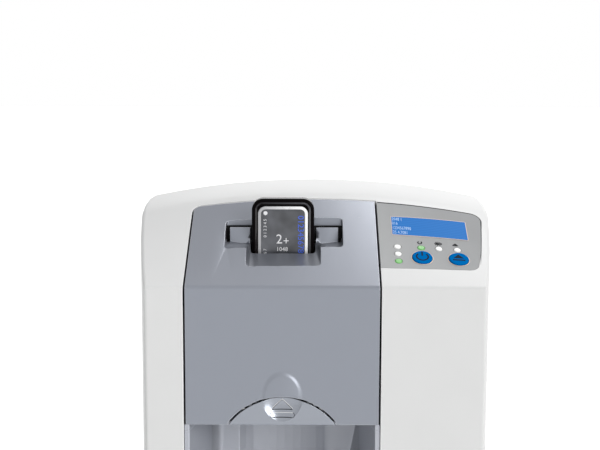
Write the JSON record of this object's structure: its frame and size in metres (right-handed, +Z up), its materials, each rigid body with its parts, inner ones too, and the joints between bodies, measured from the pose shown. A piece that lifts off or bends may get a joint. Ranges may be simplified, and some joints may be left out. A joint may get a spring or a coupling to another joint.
{
  "type": "phosphor plate scanner",
  "caption": "Tabletop phosphor plate scanner with an arched white housing, a hinged grey front cover with a plate slot, an open output bay with a tray, and a sloped control panel with a display.",
  "frame": {"origin": "centre of the footprint, on the surface that the feet stand on", "axes": "+X to the right of someone in front of the scanner, the front faces -Y, +Z up"},
  "size_m": [0.226, 0.2358, 0.2697],
  "materials": {
    "white_plastic": "satin",
    "grey_plastic": "satin",
    "silver_plastic": "satin",
    "black_plastic": "gloss",
    "plate_film": "dark film with a silver rim",
    "silver_film": "printed silver film",
    "display_blue": "lit display",
    "display_black": "matte",
    "white_lens": "gloss",
    "green_lens": "gloss",
    "blue_plastic": "satin",
    "rubber": "matte",
    "sheet_steel": "zinc plated",
    "steel": "bright",
    "cast_aluminium": "cast",
    "dark_plastic": "matte",
    "dark_glass": "dark",
    "circuit_board": "solder resist"
  },
  "bodies": {
    "housing": {"housing_shell": "white_plastic", "rear_cover": "white_plastic", "base_plate": "sheet_steel", "foot_front_left": "rubber", "foot_front_right": "rubber", "foot_rear_left": "rubber", "foot_rear_right": "rubber", "rear_screw_1": "steel", "rear_screw_2": "steel", "rear_screw_3": "steel", "rear_screw_4": "steel", "power_inlet": "black_plastic", "network_socket": "steel", "cover_hinge_pin_left": "steel", "cover_hinge_pin_right": "steel", "bay_liner": "grey_plastic", "control_panel": "silver_film", "display_window": "display_blue", "display_module": "display_black", "key_board": "circuit_board", "status_light_column_1": "white_lens", "status_light_column_2": "white_lens", "status_light_column_3": "green_lens", "status_light_row_1": "green_lens", "status_light_row_2": "white_lens", "status_light_row_3": "white_lens", "chassis": "sheet_steel", "scan_guide": "dark_plastic", "transport_belt_left": "rubber", "transport_belt_right": "rubber", "transport_motor": "steel", "optics_frame": "cast_aluminium", "laser_module": "steel", "spinner_motor": "black_plastic", "photomultiplier": "dark_glass", "light_collector": "steel", "erase_lamp": "white_lens", "control_board": "circuit_board", "power_board": "circuit_board"},
    "cover": {"front_cover": "grey_plastic", "lever_pin": "steel", "lever_spring": "steel"},
    "lever": {"release_lever": "silver_plastic"},
    "holder": {"plate_holder": "black_plastic"},
    "plate": {"imaging_plate": "plate_film"},
    "tray": {"output_tray": "grey_plastic", "tray_pad": "rubber"},
    "power_key": {"power_button": "blue_plastic"},
    "eject_key": {"eject_button": "blue_plastic"},
    "spinner": {"prism_spinner": "steel"},
    "drive_roller": {"lower_belt_roller": "steel", "roller_gear": "black_plastic"},
    "idle_roller": {"upper_belt_roller": "steel"},
    "pinion": {"motor_pinion": "steel"}
  },
  "joints": [
    {"name": "cover_hinge", "type": "hinge", "parent": "housing", "child": "cover", "pos_m": [-0.01957, -0.0295, 0.25654], "axis": [-1, 0, 0], "range_deg": [0, 55]},
    {"name": "lever_pull", "type": "hinge", "parent": "cover", "child": "lever", "pos_m": [-0.01957, -0.1095, 0.146], "axis": [-1, 0, 0], "range_deg": [0, 6], "stiffness_Nm_per_rad": 0.03, "springref_deg": -5.73},
    {"name": "holder_lift", "type": "slide", "parent": "cover", "child": "holder", "axis": [0, 0, 1], "range_m": [0, 0.034]},
    {"name": "plate_feed", "type": "slide", "parent": "holder", "child": "plate", "axis": [0, 0, -1], "range_m": [0, 0.13]},
    {"name": "tray_slide", "type": "slide", "parent": "housing", "child": "tray", "axis": [0, -1, 0], "range_m": [0, 0.055]},
    {"name": "power_button_press", "type": "slide", "parent": "housing", "child": "power_key", "axis": [-0.0344, 0.4715, -0.8812], "range_m": [0, 0.001], "stiffness_N_per_m": 400, "springref_m": -0.001},
    {"name": "eject_button_press", "type": "slide", "parent": "housing", "child": "eject_key", "axis": [-0.0472, 0.4432, -0.8952], "range_m": [0, 0.001], "stiffness_N_per_m": 400, "springref_m": -0.001},
    {"name": "prism_spin", "type": "hinge", "parent": "housing", "child": "spinner", "pos_m": [-0.0191, -0.09658, 0.179], "axis": [0, 0, 1], "continuous": true},
    {"name": "drive_roller_spin", "type": "hinge", "parent": "housing", "child": "drive_roller", "pos_m": [-0.0191, -0.04614, 0.152], "axis": [1, 0, 0], "continuous": true},
    {"name": "idle_roller_spin", "type": "hinge", "parent": "housing", "child": "idle_roller", "pos_m": [-0.0191, -0.04614, 0.21401], "axis": [1, 0, 0], "continuous": true},
    {"name": "motor_spin", "type": "hinge", "parent": "housing", "child": "pinion", "pos_m": [0.041, -0.02614, 0.152], "axis": [1, 0, 0], "continuous": true}
  ],
  "couplings": [
    {"joint": "idle_roller_spin", "follows": "drive_roller_spin", "ratio": 1},
    {"joint": "motor_spin", "follows": "drive_roller_spin", "ratio": -3}
  ]
}
